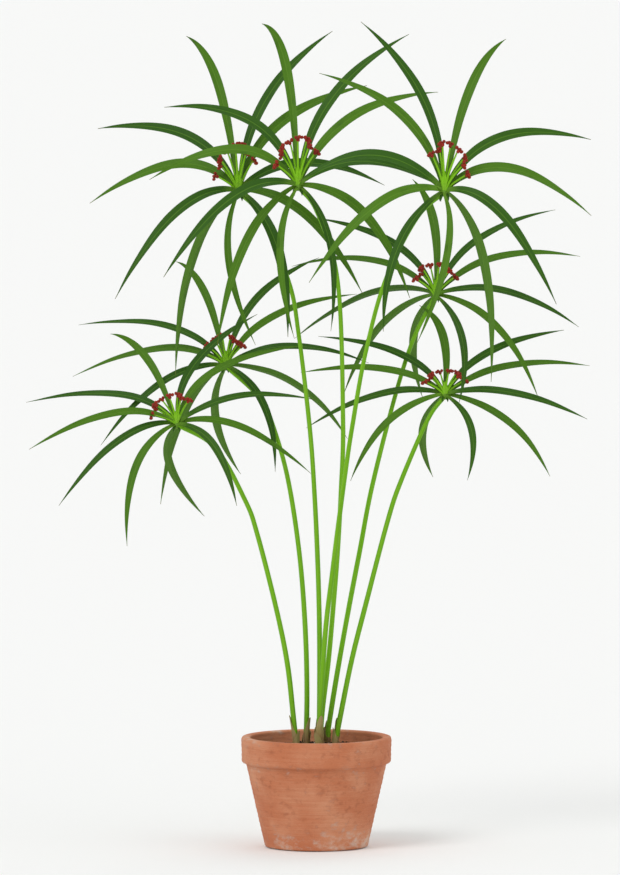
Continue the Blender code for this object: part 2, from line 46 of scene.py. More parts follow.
# Each plant, in mm as seen from the front. Its stem runs from foot to crown as (right, up), and "back" is how far
# back its ends stand. A leaf is its middle and tip from the crown, how far back the tip lies, its tone (mid green
# or dark), the share of its length before the middle, and its share of the full width where that isn't 1. A
# cluster is the middle of the spikelets on one ray, from the crown, and how far back it is where that is set.
broadLeaf, narrowLeaf = 12.5, 9.2  # full widths of the leaves
plants = [{
    "stem": [
        (2, 85), (3.4, 150), (3.5, 225), (1.8, 300), (-2.1, 385), (-7.2, 456), (-19, 556),
        (-30, 616), (-61, 688), (-85, 715),
    ],
    "back": (4, 10), "leafWidth": broadLeaf,
    "leaves": [
        ((-17.8, 101), (-57, 170.5), 80, "m", 0.4, 0.87), ((33.6, 106.2), (102.5, 175.5), 60, "d", 0.535, 0.92),
        ((49, 77.2), (140, 116.3), 70, "m", 0.52), ((-66, 64.7), (-153, 69), 55, "d", 0.56),
        ((-74.5, 28.6), (-162, -12.5), 60, "m", 0.55), ((-70, -27), (-133, -118), -70, "d", 0.53),
        ((-47.8, -69), (-68.5, -200), 50, "m", 0.48, 0.85), ((-9.8, -79), (19, -168), -70, "m", 0.53, 0.64),
        ((41.2, -59), (54, -159), -60, "d", 0.5), ((75, -28), (135, -112), -35, "m", 0.53),
        ((74, 31), (159, 7), 40, "d", 0.52),
    ],
    "clusters": [
        (-24.5, 17), (-19.5, 28.5), (-19.5, 35), (-12, 44.5), (-3, 50.5), (6, 50), (9, 43), (16.5, 34),
    ],
}, {
    "stem": [
        (2.5, 85), (6, 143), (13.2, 204), (18.7, 265), (23.2, 323), (26.6, 385), (29, 466),
        (23.2, 616), (1, 691), (-20, 720),
    ],
    "back": (-5, -50), "leafWidth": broadLeaf,
    "leaves": [
        ((-9.6, 111), (-39.2, 177.3), 65, "m", 0.4, 0.86), ((40.3, 100.2), (120.5, 165.8), 60, "d", 0.527),
        ((59.7, 75.4), (152, 102.6), 50, "m", 0.52), ((-51, 70), (-145, 86), 40, "d", 0.5),
        ((-66.8, 39.3), (-161, 7), 20, "m", 0.5), ((-75, -16.5), (-145, -100), -80, "d", 0.53),
        ((-55.4, -60.6), (-87, -172), -50, "m", 0.5, 0.86), ((-19.3, -74), (-4, -166), -70, "m", 0.53, 0.65),
        ((34, -62), (35.5, -158), -25, "d", 0.5, 0.7), ((73, -33), (121, -122), -20, "m", 0.52),
        ((76, 26), (158, -3), -20, "d", 0.53),
    ],
    "clusters": [
        (-23.3, 23.4), (-17.7, 34.3), (-16.8, 42), (-8.7, 48.3), (0, 51.8), (9.6, 51), (12.2, 43.7),
        (19.4, 37.4),
    ],
}, {
    "stem": [
        (2, 85), (3.5, 143), (9.7, 235), (16.8, 296), (24, 354), (32.2, 415), (38.3, 456),
        (52.5, 536), (74, 616), (108, 684), (138, 713),
    ],
    "back": (-14, -110), "leafWidth": broadLeaf,
    "leaves": [
        ((26.6, 107.2), (67, 166.2), 55, "m", 0.48, 0.86), ((-30, 114.5), (-90, 185), 60, "d", 0.572, 0.88),
        ((-50, 86.4), (-135, 128.6), 35, "m", 0.54), ((66, 60), (159, 57), 50, "d", 0.53),
        ((71, 25), (159.5, -25.5), 55, "m", 0.5, 1.04), ((66.8, -31), (120.5, -122.5), -50, "d", 0.56),
        ((44.2, -82), (51.2, -206), 50, "m", 0.545, 0.84), ((3.2, -67), (-30, -165), -70, "m", 0.5, 0.65),
        ((-48.2, -56.6), (-66, -152), -50, "d", 0.48, 0.84), ((-68.5, -12.4), (-146, -99), -45, "m", 0.48),
        ((-79, 39.3), (-157, 11), 10, "d", 0.525, 1.17),
    ],
    "clusters": [
        (-13.5, 40.5), (-5, 46), (-2, 52.5), (6.8, 51), (15, 45.5), (22, 37.5), (21, 29.5), (25, 19),
    ],
}, {
    "stem": [
        (7, 85), (15.3, 143), (25.3, 204), (36.3, 265), (47.4, 323), (61.2, 395), (87, 496),
        (106.6, 556), (130, 602),
    ],
    "back": (14, 65), "leafWidth": narrowLeaf,
    "leaves": [
        ((-1.7, 80), (-25, 128), 80, "m", 0.5, 1.1), ((-51, 59.8), (-131, 85), 50, "d", 0.55),
        ((-72, 38.9), (-157, 32), 35, "m", 0.54), ((-73, 1.3), (-154, -47), 70, "d", 0.52),
        ((-58.2, -32.2), (-100, -108), 60, "m", 0.5), ((-24.2, -54), (-13.5, -112), 100, "m", 0.58),
        ((29, -51.5), (24.5, -118), -120, "d", 0.52, 0.9), ((67.6, -36.3), (111.5, -113), -50, "m", 0.52),
        ((78, 3.3), (155, -35), -60, "d", 0.52), ((75, 43.6), (158, 43), 50, "m", 0.555),
        ((52.3, 64.8), (131, 94), 40, "d", 0.55),
    ],
    "clusters": [
        (-21.5, 18.3), (-15.8, 24.4), (-14.8, 30.1), (-5.9, 32.7), (3.7, 33.7), (10, 31), (14.5, 27), (21, 20.5),
    ],
}, {
    "stem": [
        (15, 85), (26.2, 143), (38.5, 204), (53.8, 265), (77.6, 356), (92.3, 400), (121, 466), (140, 493),
    ],
    "back": (0, 20), "leafWidth": narrowLeaf,
    "leaves": [
        ((-0.2, 53), (-28, 98), 32, "m", 0.4, 1.12), ((-55, 47), (-138, 64), 40, "d", 0.55),
        ((-72, 28.8), (-157, 24.5), 30, "m", 0.55), ((-75, -0.5), (-151, -36), 30, "d", 0.53),
        ((-62.3, -29.8), (-103, -94), -30, "m", 0.51), ((-24.2, -44), (-12.5, -90), 90, "m", 0.56),
        ((29.5, -45), (23.5, -93), -90, "d", 0.58, 0.86), ((70.6, -31.4), (113.5, -89), -45, "m", 0.53),
        ((79, 0.9), (154, -26.5), -40, "d", 0.55), ((78, 33), (158, 32), 50, "m", 0.56),
        ((58.2, 51.7), (130, 71), 40, "d", 0.58),
    ],
    "clusters": [
        (-21.5, 14.3), (-15.1, 18.9), (-14.5, 22.5), (-5.5, 25.2), (4, 25.8), (12.3, 24.5), (14.4, 20.8),
        (21, 16),
    ],
}, {
    "stem": [
        (-12, 85), (-10.3, 165), (-12.3, 240), (-18.7, 320), (-31, 400), (-47, 458), (-62, 490), (-99, 525),
    ],
    "back": (8, 105), "leafWidth": narrowLeaf,
    "leaves": [
        ((-21.8, 76.6), (-55, 115), 70, "m", 0.46), ((35.5, 75.5), (102, 119), 50, "d", 0.53),
        ((60.5, 58.5), (143, 79), 50, "m", 0.56), ((-71, 45), (-161, 45), 30, "d", 0.56),
        ((-73, 18.7), (-168, -11.5), 60, "m", 0.52, 1.07), ((-67.8, -17.5), (-136, -87), -40, "d", 0.49),
        ((-43.2, -46.5), (-71.8, -152), 60, "m", 0.46, 1.05), ((-10.2, -64), (16, -119), 90, "m", 0.57),
        ((38.4, -37), (54, -116), -40, "d", 0.45), ((76, -20.4), (133, -80), 20, "m", 0.5),
        ((82, 21), (156, 3), -30, "d", 0.57),
    ],
    "clusters": [
        (-25, 15), (-20.4, 22.7), (-12, 29), (-3.6, 33.5), (5, 32), (8.8, 27.8), (14, 25), (18, 22),
    ],
}, {
    "stem": [
        (-19.5, 85), (-25.3, 143), (-31.8, 200), (-43.9, 260), (-64.2, 340), (-77.5, 377.5),
        (-110.3, 435.3), (-152, 461),
    ],
    "back": (-2, 35), "leafWidth": narrowLeaf,
    "leaves": [
        ((-31, 68.5), (-73, 99), 65, "m", 0.46), ((23.6, 71), (87.5, 120.5), 52, "d", 0.55, 1.08),
        ((49.6, 62.4), (137, 86), 38, "m", 0.565), ((-79, 33.6), (-165, 24), 75, "d", 0.6),
        ((-77, 10), (-160, -27.5), -50, "m", 0.55), ((-67, -21.2), (-128, -89), -40, "d", 0.54),
        ((-43.7, -46.3), (-53.7, -133), -50, "m", 0.5), ((-6.4, -49), (29.5, -101), 80, "m", 0.57),
        ((43.6, -28.3), (65.5, -89), -70, "d", 0.55), ((75, -5.5), (146, -54), 0, "m", 0.55),
        ((75, 31.2), (151, 26.5), 10, "d", 0.56),
    ],
    "clusters": [
        (-26, 10.3, -14), (-23, 17.3), (-23.3, 22), (-16.3, 27), (-8.4, 31), (0.5, 32.5), (4.7, 28.7),
        (12.5, 26),
    ],
}]


class Wire:  # a node's output; Python's operators on it add Math nodes
    def __init__(self, nodes, socket):
        self.nodes, self.socket = nodes, socket

    def output(self, name):  # another output of the same node
        return Wire(self.nodes, self.socket.node.outputs[name])

    def maths(self, operation, first, second=0.0):
        return self.nodes.node("ShaderNodeMath", {"operation": operation}, {0: first, 1: second})

    def __add__(self, value):
        return self.maths("ADD", self, value)

    def __sub__(self, value):
        return self.maths("SUBTRACT", self, value)

    def __rsub__(self, value):
        return self.maths("SUBTRACT", value, self)

    def __mul__(self, value):
        return self.maths("MULTIPLY", self, value)

    def __abs__(self):
        return self.maths("ABSOLUTE", self)

    __radd__, __rmul__ = __add__, __mul__

    def sine(self):
        return self.maths("SINE", self)


class Nodes:  # one tree of nodes
    def __init__(self, tree):
        self.tree = tree

    def node(self, kind, settings, inputs, output=0):
        made = self.tree.nodes.new(kind)
        for key, value in settings.items():
            if key == "stops":
                self.stops(made.color_ramp.elements, value)
            else:
                setattr(made, key, value)
        for key, value in inputs.items():
            self.join(value, made.inputs[key])
        return Wire(self, made.outputs[output])

    def stops(self, elements, stops):
        for _ in stops[2:]:
            elements.new(1)
        for element, (position, colour) in zip(elements, stops):
            element.position, element.color = position, (*colour, 1)

    def join(self, value, socket):
        if isinstance(value, Wire):
            self.tree.links.new(value.socket, socket)
        else:
            socket.default_value = (*value, 1) if socket.type == "RGBA" else value


class Look(Nodes):  # one material
    def __init__(self, name, gloss):
        self.material = bpy.data.materials.new(name)
        self.material.use_nodes = True
        super().__init__(self.material.node_tree)
        self.shader = self.tree.nodes["Principled BSDF"]
        self.fill(**{"Specular IOR Level": gloss})

    def fill(self, **inputs):  # the shader's own sockets
        for name, value in inputs.items():
            self.join(value, self.shader.inputs[name])

    def mark(self, name):  # what the mesh stores under this name
        return self.node("ShaderNodeAttribute", {"attribute_name": name}, {}, "Vector")

    def parts(self, name):  # and its three parts
        first = self.node("ShaderNodeSeparateXYZ", {}, {0: self.mark(name)})
        return first, first.output("Y"), first.output("Z")

    def noise(self, stretch, detail=3.0, roughness=0.5):  # stretch is one number or three
        inputs = {0: self.mark("grain"), 1: np.ones(3) * stretch}
        stretched = self.node("ShaderNodeVectorMath", {"operation": "MULTIPLY"}, inputs)
        inputs = {"Vector": stretched, "Scale": 1.0, "Detail": detail, "Roughness": roughness}
        return self.node("ShaderNodeTexNoise", {}, inputs)

    def between(self, value, low, high):  # 0 at low, 1 at high, smooth in between
        inputs = {"Value": value, "From Min": low, "From Max": high}
        return self.node("ShaderNodeMapRange", {"interpolation_type": "SMOOTHSTEP"}, inputs)

    def mix(self, factor, first, second):
        return self.node("ShaderNodeMix", {"data_type": "RGBA"}, {0: factor, 6: first, 7: second}, 2)

    def layers(self, colour, *rows):  # each row lays its colour over what is there as its value nears high
        for over, value, low, high, share in rows:
            colour = self.mix(self.between(value, low, high) * share, colour, over)
        return colour

    def ramp(self, value, stops):
        return self.node("ShaderNodeValToRGB", {"stops": stops}, {0: value})

    def finish(self, colour, roughness, height, depth, strength=1.0):
        bump = self.node("ShaderNodeBump", {}, {"Strength": strength, "Distance": depth * mm, "Height": height})
        self.fill(**{"Base Color": colour, "Roughness": roughness, "Normal": bump})
        return self.material


def add(name, data):  # a new object in the scene
    made = bpy.data.objects.new(name, data)
    bpy.context.scene.collection.objects.link(made)
    return made


class Shape:  # gathers closed grids of points into one mesh
    def __init__(self):
        self.points, self.grain, self.traits, self.faces, self.looks, self.count = [], [], [], [], [], 0

    def grid(self, points, grain, traits=(0, 0, 0), look=0, ring=False):
        # points run along and around; a ring also joins its last row to its first
        rows, turns = points.shape[:2]
        first = self.count + np.arange(rows * turns).reshape(rows, turns)
        low, high = (first, np.roll(first, -1, 0)) if ring else (first[:-1], first[1:])
        faces = np.stack([low, np.roll(low, -1, 1), np.roll(high, -1, 1), high], -1).reshape(-1, 4).tolist()
        if not ring:
            faces += [first[0][::-1].tolist(), first[-1].tolist()]
        self.faces += faces
        self.looks += [look] * len(faces)
        for store, values in ((self.points, points), (self.grain, grain), (self.traits, traits)):
            store.append(np.broadcast_to(values, points.shape).reshape(-1, 3))
        self.count += rows * turns

    def piece(self, name, looks, slot, node, sharp=50):  # sharp is in degrees
        mesh = bpy.data.meshes.new(name)
        mesh.from_pydata(np.concatenate(self.points).tolist(), [], self.faces)
        for key, values in (("grain", self.grain), ("traits", self.traits)):
            stored = mesh.attributes.new(key, "FLOAT_VECTOR", "POINT")
            stored.data.foreach_set("vector", np.concatenate(values).ravel())
        mesh.polygons.foreach_set("material_index", self.looks)
        for look in looks:
            mesh.materials.append(look)
        work = bmesh.new()
        work.from_mesh(mesh)
        bmesh.ops.recalc_face_normals(work, faces=work.faces)
        work.to_mesh(mesh)
        work.free()
        mesh.shade_smooth()
        mesh.set_sharp_from_angle(angle=math.radians(sharp))
        made = add(name, mesh)
        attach(made, "root")
        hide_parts(node)


def place(right, back, up):  # a point in metres from where it is seen, in mm
    return np.array([right, back, up - back * math.tan(eyeAngle)]) * mm


def unit(vectors):
    return vectors / np.linalg.norm(vectors, axis=-1, keepdims=True)


def stacked(x, y, z):  # vectors from their parts
    return np.stack(np.broadcast_arrays(x, y, z), -1)


def ringAngles(sides):
    return np.linspace(0, fullTurn, sides, endpoint=False)


def ease(value, low, high):  # 0 at low, 1 at high, smooth in between
    share = np.clip((value - low) / (high - low), 0, 1)
    return share * share * (3 - 2 * share)


def along(path):  # a path's directions and its lengths from the start
    steps = np.linalg.norm(np.diff(path, axis=0), axis=1)
    return unit(np.gradient(path, axis=0)), np.concatenate([[0], np.cumsum(steps)])


def smoothPath(points, perSpan):  # a smooth line through the points
    ends = [2 * points[0] - points[1], *points, 2 * points[-1] - points[-2]]
    path = []
    for a, b, c, d in zip(ends, ends[1:], ends[2:], ends[3:]):
        for t in np.arange(perSpan) / perSpan:
            bow = (2 * a - 5 * b + 4 * c - d) * t * t + (3 * b - a - 3 * c + d) * t**3
            path.append(b + ((c - a) * t + bow) / 2)
    return np.array([*path, points[-1]])


def bezier(points, count):  # a Bezier curve by repeated mixing
    t = np.linspace(0, 1, count)[:, None]
    rows = [np.asarray(point) * np.ones((count, 1)) for point in points]
    while len(rows) > 1:
        rows = [low * (1 - t) + high * t for low, high in zip(rows, rows[1:])]
    return rows[0]


def lathe(line, sides):  # a line of (radius, height) in mm, turned round the middle
    radius, height, angle = line[:, :1], line[:, 1:], ringAngles(sides)
    return stacked(radius * np.cos(angle), radius * np.sin(angle), height)


def tube(path, radii, sides):  # rings of points around a path, and their place in mm round and along it
    direction, length = along(path)
    guide = np.array([1, 0.2, 0.05])  # no path here runs this way
    across = unit(guide - direction * (direction @ guide)[:, None])
    third = np.cross(direction, across)
    angle = ringAngles(sides)
    radii = np.broadcast_to(np.reshape(radii, (len(path), -1)), (len(path), sides))
    right, up = radii * np.cos(angle), radii * np.sin(angle)
    points = path[:, None] + right[..., None] * across[:, None] + up[..., None] * third[:, None]
    return points, stacked(right, up, length[:, None]) / mm


view = {
    "distance": 20,  # metres, for the drawing's flat look
    "height": 0.951,  # of the picture, at the plant
    "middle": (-7, 446.5),  # of the picture, in mm as seen
    "sensor": 36,
    "floor": (0.88, 0.885, 0.875),
    "floorRoughness": 0.9,
    "floorGloss": 0.1,
    "floorSize": 400,
    "floorDrop": 0.0005,  # clear of the pot's underside
    "sky": (1.0, 1.0, 1.0),
    "skyStrength": 0.72,
    "backdrop": 0.94,  # how bright the sky itself looks
    "lights": [  # name, where it stands, how wide it looks in degrees, strength
        ("key", (-2.2, -2.6, 3.4), 28, 1.0),
        ("fill", (3.0, -2.0, 1.8), 60, 0.35),
        ("back", (0.8, 2.6, 2.6), 50, 0.35),
    ],
}
camera = add("camera", bpy.data.cameras.new("camera"))
camera.data.sensor_width = view["sensor"]
camera.data.lens = view["sensor"] * view["distance"] / view["height"]
camera.data.clip_end = view["floorSize"]
toCamera = Vector((0, -math.cos(eyeAngle), math.sin(eyeAngle)))
camera.location = Vector(place(view["middle"][0], 0, view["middle"][1])) + toCamera * view["distance"]
camera.rotation_euler = toCamera.to_track_quat("Z", "Y").to_euler()
bpy.context.scene.camera = camera
bpy.context.scene.view_settings.view_transform = "Standard"

world = bpy.data.worlds.new("studio")
world.use_nodes = True
studio = Nodes(world.node_tree)
seen = studio.node("ShaderNodeLightPath", {}, {}, "Is Camera Ray")
strength = seen * (view["backdrop"] - view["skyStrength"]) + view["skyStrength"]
background = world.node_tree.nodes["Background"]
studio.join(view["sky"], background.inputs["Color"])
studio.join(strength, background.inputs["Strength"])
bpy.context.scene.world = world

floorMesh = bpy.data.meshes.new("floor")
reach = view["floorSize"] / 2
corners = [(x * reach, y * reach, 0) for x, y in ((-1, -1), (1, -1), (1, 1), (-1, 1))]
floorMesh.from_pydata(corners, [], [(0, 1, 2, 3)])
floor = add("floor", floorMesh)
floor.location.z = -view["floorDrop"]
paper = Look("pale floor", view["floorGloss"])
paper.fill(**{"Base Color": view["floor"], "Roughness": view["floorRoughness"]})
floorMesh.materials.append(paper.material)

for name, spot, width, power in view["lights"]:
    light = bpy.data.lights.new(name, "SUN")
    light.angle, light.energy = math.radians(width), power
    lamp = add(name, light)
    lamp.location = spot
    lamp.rotation_euler = Vector(spot).to_track_quat("Z", "Y").to_euler()
print("Camera, floor and light done")

pot = {
    "height": 120,
    "rim": 82,  # radius, as the base
    "band": 28,
    "step": 5,  # how far the band stands out from the wall
    "base": 56,
    "wall": 7,
    "floor": 9,
    "inside": 2,  # how much the inner wall opens over the band
    "bandDraw": (0.4, 1),  # how much the band draws in at its top and its foot
    "groove": 0.6,  # under the band
    "footRing": (9, 10.5),  # its width on the ground and above
    "hollow": 1.6,  # height of the hollow in the underside
    "around": 144,
    "spacing": 1.6,  # between rows of points
    "bend": 6,  # points on a rounded corner
    "rings": 0.16,  # depth of the throwing rings
    "ringSpacing": 5.2,
    "ringSway": 0.6,
    "wobble": 0.35,
    "dents": 0.09,  # left by the fingers
    "proud": 0.45,  # how far the clay may stand out in all
    "gloss": 0.28,
    "roughness": 0.72,
    # the textures, per mm
    "broad": (0.022, 0.022, 0.03),
    "middle": (0.11, 0.11, 0.16),
    "fine": 1.3,
    "turned": (0.02, 0.02, 0.9),
    "specks": 2.6,
    "clay": (0.5, 0.165, 0.075),
    "paleClay": (0.6, 0.27, 0.15),
    "darkClay": (0.33, 0.1, 0.045),
    "bloom": (0.66, 0.55, 0.46),
    "paleSpeck": (0.74, 0.5, 0.36),
    "darkSpeck": (0.16, 0.05, 0.03),
    # where salts bloom: from the ground up, under the band, from the rim down
    "bloomFoot": 34,
    "bloomBand": (90, 12),
    "bloomRim": 10,
}


def rounded(corners):  # a line through (radius, height, rounding) corners, in mm
    line = [np.array(corners[0][:2])]
    for before, corner, after in zip(corners, corners[1:], corners[2:]):
        here, bend = np.array(corner[:2]), corner[2]
        start = here + unit(np.array(before[:2]) - here) * bend
        end = here + unit(np.array(after[:2]) - here) * bend
        line += list(bezier([start, here, end], pot["bend"]))
    line.append(np.array(corners[-1][:2]))
    fine = [line[0]]
    for low, high in zip(line, line[1:]):
        steps = max(1, math.ceil(np.linalg.norm(high - low) / pot["spacing"]))
        fine += [low + (high - low) * (i + 1) / steps for i in range(steps)]
    return np.array(fine)


def innerRadius(height):
    bandFoot = pot["height"] - pot["band"]
    low, high = pot["base"] - pot["wall"], pot["rim"] - pot["step"] - pot["wall"]
    if height > bandFoot:
        return high + pot["inside"] * (height - bandFoot) / pot["band"]
    return low + (high - low) * (height - pot["floor"]) / (bandFoot - pot["floor"])


def makePot():
    top, bandFoot = pot["height"], pot["height"] - pot["band"]
    wallTop = pot["rim"] - pot["step"]
    corners = [
        (core, pot["floor"], 0),
        (pot["base"] - pot["wall"], pot["floor"], 4),
        (wallTop - pot["wall"], bandFoot, 3),
        (wallTop - pot["wall"] + pot["inside"], top, 2.4),
        (pot["rim"] - pot["bandDraw"][0], top, 2.8),
        (pot["rim"] - pot["bandDraw"][1], bandFoot, 2.2),
        (wallTop - pot["groove"], bandFoot - pot["groove"], 0.9),
        (pot["base"], 0.2, 2),
        (pot["base"] - pot["footRing"][0], 0.1, 1.5),
        (pot["base"] - pot["footRing"][1], pot["hollow"], 1),
        (core, pot["hollow"], 0),
    ]
    points = lathe(rounded(corners), pot["around"])
    x, y, height = np.moveaxis(points, -1, 0)
    radius, angle = np.hypot(x, y), np.arctan2(y, x)
    inner = innerRadius(top / 2)
    outer = ease(radius, inner - 8, inner)  # the outside alone is marked
    turning = height / pot["ringSpacing"] * fullTurn + pot["ringSway"] * np.sin(angle + height / 17)
    rings = pot["rings"] * (np.sin(turning) + 0.5 * np.sin(turning * 0.37 + 1.3))
    swell = pot["wobble"] * (np.sin(2 * angle + 0.7) * height / top + 0.4 * np.sin(3 * angle - height / 40))
    dents = pot["dents"] * np.sin(11 * angle + height / 6) * np.sin(5 * angle - height / 9)
    drift = np.minimum((rings + swell + dents) * outer, pot["proud"])
    points[..., :2] *= (1 + drift / np.maximum(radius, 1))[..., None]
    shape = Shape()
    shape.grid(points * mm, points)
    shape.piece("pot", [clayLook()], "clay", "pot")


def clayLook():
    look = Look("terracotta", pot["gloss"])
    height = look.parts("grain")[2]
    broad = look.noise(pot["broad"], 4)
    middle = look.noise(pot["middle"], 5, 0.6)
    fine = look.noise(pot["fine"], 3, 0.6)
    turned = look.noise(pot["turned"], 4, 0.6)
    specks = look.noise(pot["specks"], 1)
    foot = look.between(height, pot["bloomFoot"], 2)
    band = look.between(abs(height - pot["bloomBand"][0]), pot["bloomBand"][1], 1)
    rim = look.between(height, pot["height"] - pot["bloomRim"], pot["height"])
    salts = middle * 0.9 + broad * 0.5 + foot * 0.192 + band * 0.09 + rim * 0.1
    colour = look.layers(
        pot["clay"],
        (pot["paleClay"], broad + turned * 0.35, 0.5, 0.95, 1),
        (pot["darkClay"], middle, 0.5, 0.72, 0.55),
        (pot["bloom"], salts, 0.82, 1.08, 0.62),
        (pot["paleSpeck"], specks, 0.68, 0.78, 0.5),
        (pot["darkSpeck"], specks, 0.33, 0.25, 0.6),
    )
    roughness = pot["roughness"] + fine * 0.16 + look.between(salts, 0.82, 1.08) * 0.08
    bumps = fine * 0.45 + specks * 0.3 + turned * 0.5 + middle * 0.35
    return look.finish(colour, roughness, bumps, 0.5, 0.8)


makePot()
print("Pot done")

soil = {
    "edge": 106,  # height at the pot's wall
    "mound": 4.2,
    "moundReach": (8, 62),  # where the mound begins to fall and ends
    "roll": 0.45,  # height of the surface's waves
    "rough": 0.35,  # and of each point's own
    "clear": 0.5,  # from the pot's wall
    "foot": 70,  # height of the underside
    "rows": 46,
    "around": 150,
    "pole": 0.22,  # radians from a lump's pole to its first ring
    "crumbs": 1500,
    "crumbSize": (0.45, 2.0),  # the least, and how much larger they get
    "bark": 46,
    "barkSize": ((2.6, 5.5), (1.2, 2.4), (0.4, 0.8)),  # half its length, width and height, from and to
    "barkTip": 0.35,  # how far a chip leans
    "grit": 60,
    "gritSize": (0.6, 1.5),
    "rootlets": 26,
    "rootletSize": (0.32, 0.14),  # radius at the start and at the end
    "rootletStep": 1.5,
    "patches": 0.05,
    # tone, fine and patches: what a lump's own tone, its texture and broad patches add to its shade
    "looks": {
        "potting soil": {
            "gloss": 0.25, "grain": 1.1, "detail": (4, 0.65),
            "tone": 0.55, "fine": 0.25, "patches": 0.25, "roughness": (0.8, 0.18), "bump": 0.6,
            "stops": [
                (0.15, (0.012, 0.008, 0.006)), (0.42, (0.032, 0.02, 0.013)),
                (0.7, (0.075, 0.046, 0.028)), (0.95, (0.13, 0.085, 0.052)),
            ],
        },
        "bark and roots": {
            "gloss": 0.25, "grain": (0.5, 2.2, 2.2), "detail": (4, 0.6),
            "tone": 0.5, "fine": 0.5, "patches": 0, "roughness": (0.75, 0.15), "bump": 0.5,
            "stops": [(0.2, (0.05, 0.024, 0.012)), (0.5, (0.14, 0.065, 0.03)), (0.8, (0.27, 0.16, 0.085))],
        },
        "grit": {
            "gloss": 0.3, "grain": 1.6, "detail": (3, 0.6),
            "tone": 0.6, "fine": 0.4, "patches": 0, "roughness": (0.7, 0.2), "bump": 0.3,
            "stops": [(0.2, (0.33, 0.29, 0.24)), (0.6, (0.55, 0.52, 0.46)), (0.9, (0.72, 0.7, 0.65))],
        },
    },
}


def soilTop(x, y):  # height in mm
    heap = soil["mound"] * (1 - ease(np.hypot(x, y), *soil["moundReach"]))
    roll = np.sin(x / 7.3 + 1) * np.sin(y / 6.1) + 0.6 * np.sin(x / 3.7 - y / 4.3)
    roll = roll + 0.4 * np.sin(y / 2.3 + x / 2.9)
    return soil["edge"] + heap + soil["roll"] * roll


def anyTurn(rng):  # a random rotation
    return np.array(Quaternion(unit(rng.normal(size=4))).to_matrix())


def lump(shape, rng, spot, size, tone, look, rows=5, sides=7, rough=0.22, spin=None):  # size and spot in mm
    polar, angle = np.linspace(soil["pole"], math.pi - soil["pole"], rows)[:, None], ringAngles(sides)
    ball = stacked(np.sin(polar) * np.cos(angle), np.sin(polar) * np.sin(angle), np.cos(polar))
    ball = ball * (1 + rough * rng.uniform(-1, 1, (rows, sides, 1))) * np.asarray(size)
    points = ball @ (anyTurn(rng) if spin is None else spin).T + spot
    shape.grid(points * mm, points, (tone, rng.random(), 0), look)


def scatter(rng, reach, share=1.0):  # a random spot on the soil, as radius, x and y
    radius, angle = reach * math.sqrt(share * rng.random()), rng.uniform(0, fullTurn)
    return radius, radius * math.cos(angle), radius * math.sin(angle)


def makeSoil():
    rng = np.random.default_rng(11)
    shape = Shape()
    reach = innerRadius(soil["edge"]) - soil["clear"]
    across = np.concatenate([np.linspace(core, reach - 1.5, soil["rows"]), [reach - 0.6]])
    top = lathe(np.stack([across, 0 * across], -1), soil["around"])
    uneven = rng.uniform(-soil["rough"], soil["rough"], top.shape[:2])
    top[..., 2] = soilTop(top[..., 0], top[..., 1]) + uneven
    heights = (soil["edge"] - 2, 92, soil["foot"])
    lower = [(innerRadius(height) - soil["clear"], height) for height in heights]
    points = np.concatenate([top, lathe(np.array([*lower, (core, soil["foot"])]), soil["around"])])
    shape.grid(points * mm, points, (0.25, 0.5, 0))
    for _ in range(soil["crumbs"]):
        radius, x, y = scatter(rng, reach, 0.97)
        size = soil["crumbSize"][0] + soil["crumbSize"][1] * rng.random() ** 3.2  # few are large
        body = np.minimum(size * rng.uniform(0.75, 1.15, 3), max((reach - radius) * 0.8, 0.4))
        lump(shape, rng, (x, y, soilTop(x, y) + size * 0.25), body, rng.random() ** 1.3, 0)
    for _ in range(soil["bark"]):
        _, x, y = scatter(rng, reach - 8)
        size = np.array([rng.uniform(*sizes) for sizes in soil["barkSize"]])
        turn, tip = rng.uniform(0, math.pi), rng.uniform(-soil["barkTip"], soil["barkTip"])
        cosine, sine = math.cos(turn), math.sin(turn)
        spin = np.array([[cosine, -sine, 0], [sine, cosine, 0], [tip, tip / 2, 1]])
        lump(shape, rng, (x, y, soilTop(x, y) + 0.9), size, rng.random(), 1, 6, 8, 0.12, spin)
    for _ in range(soil["grit"]):
        _, x, y = scatter(rng, reach - 3)
        size = rng.uniform(*soil["gritSize"]) * rng.uniform(0.8, 1.2, 3)
        lump(shape, rng, (x, y, soilTop(x, y) + 0.5), size, rng.random(), 2, 6, 8, 0.14)
    for _ in range(soil["rootlets"]):
        _, x, y = scatter(rng, reach - 10)
        heading = rng.uniform(0, fullTurn)
        bends = np.cumsum(heading + rng.normal(0, 0.35, 8))
        path = [(x, y)]
        for turn in heading + (bends - bends[0]) * 0.12:
            x, y = x + soil["rootletStep"] * math.cos(turn), y + soil["rootletStep"] * math.sin(turn)
            path.append((x, y))
        line = np.array([(x, y, soilTop(x, y) + 0.7 + 0.4 * math.sin(i)) for i, (x, y) in enumerate(path)])
        points, grain = tube(line * mm, np.linspace(*soil["rootletSize"], len(line)) * mm, 6)
        shape.grid(points, grain, (0.85, rng.random(), 0), 1)
    shape.piece("soil", [groundLook(*item) for item in soil["looks"].items()], "earth", "soil", 80)


def groundLook(name, kind):
    look = Look(name, kind["gloss"])
    tone = look.parts("traits")[0]
    fine = look.noise(kind["grain"], *kind["detail"])
    shade = tone * kind["tone"] + fine * kind["fine"]
    if kind["patches"]:
        shade = shade + look.noise(soil["patches"]) * kind["patches"]
    rough, rougher = kind["roughness"]
    return look.finish(look.ramp(shade, kind["stops"]), rough + fine * rougher, fine, kind["bump"])


makeSoil()
print("Soil done")

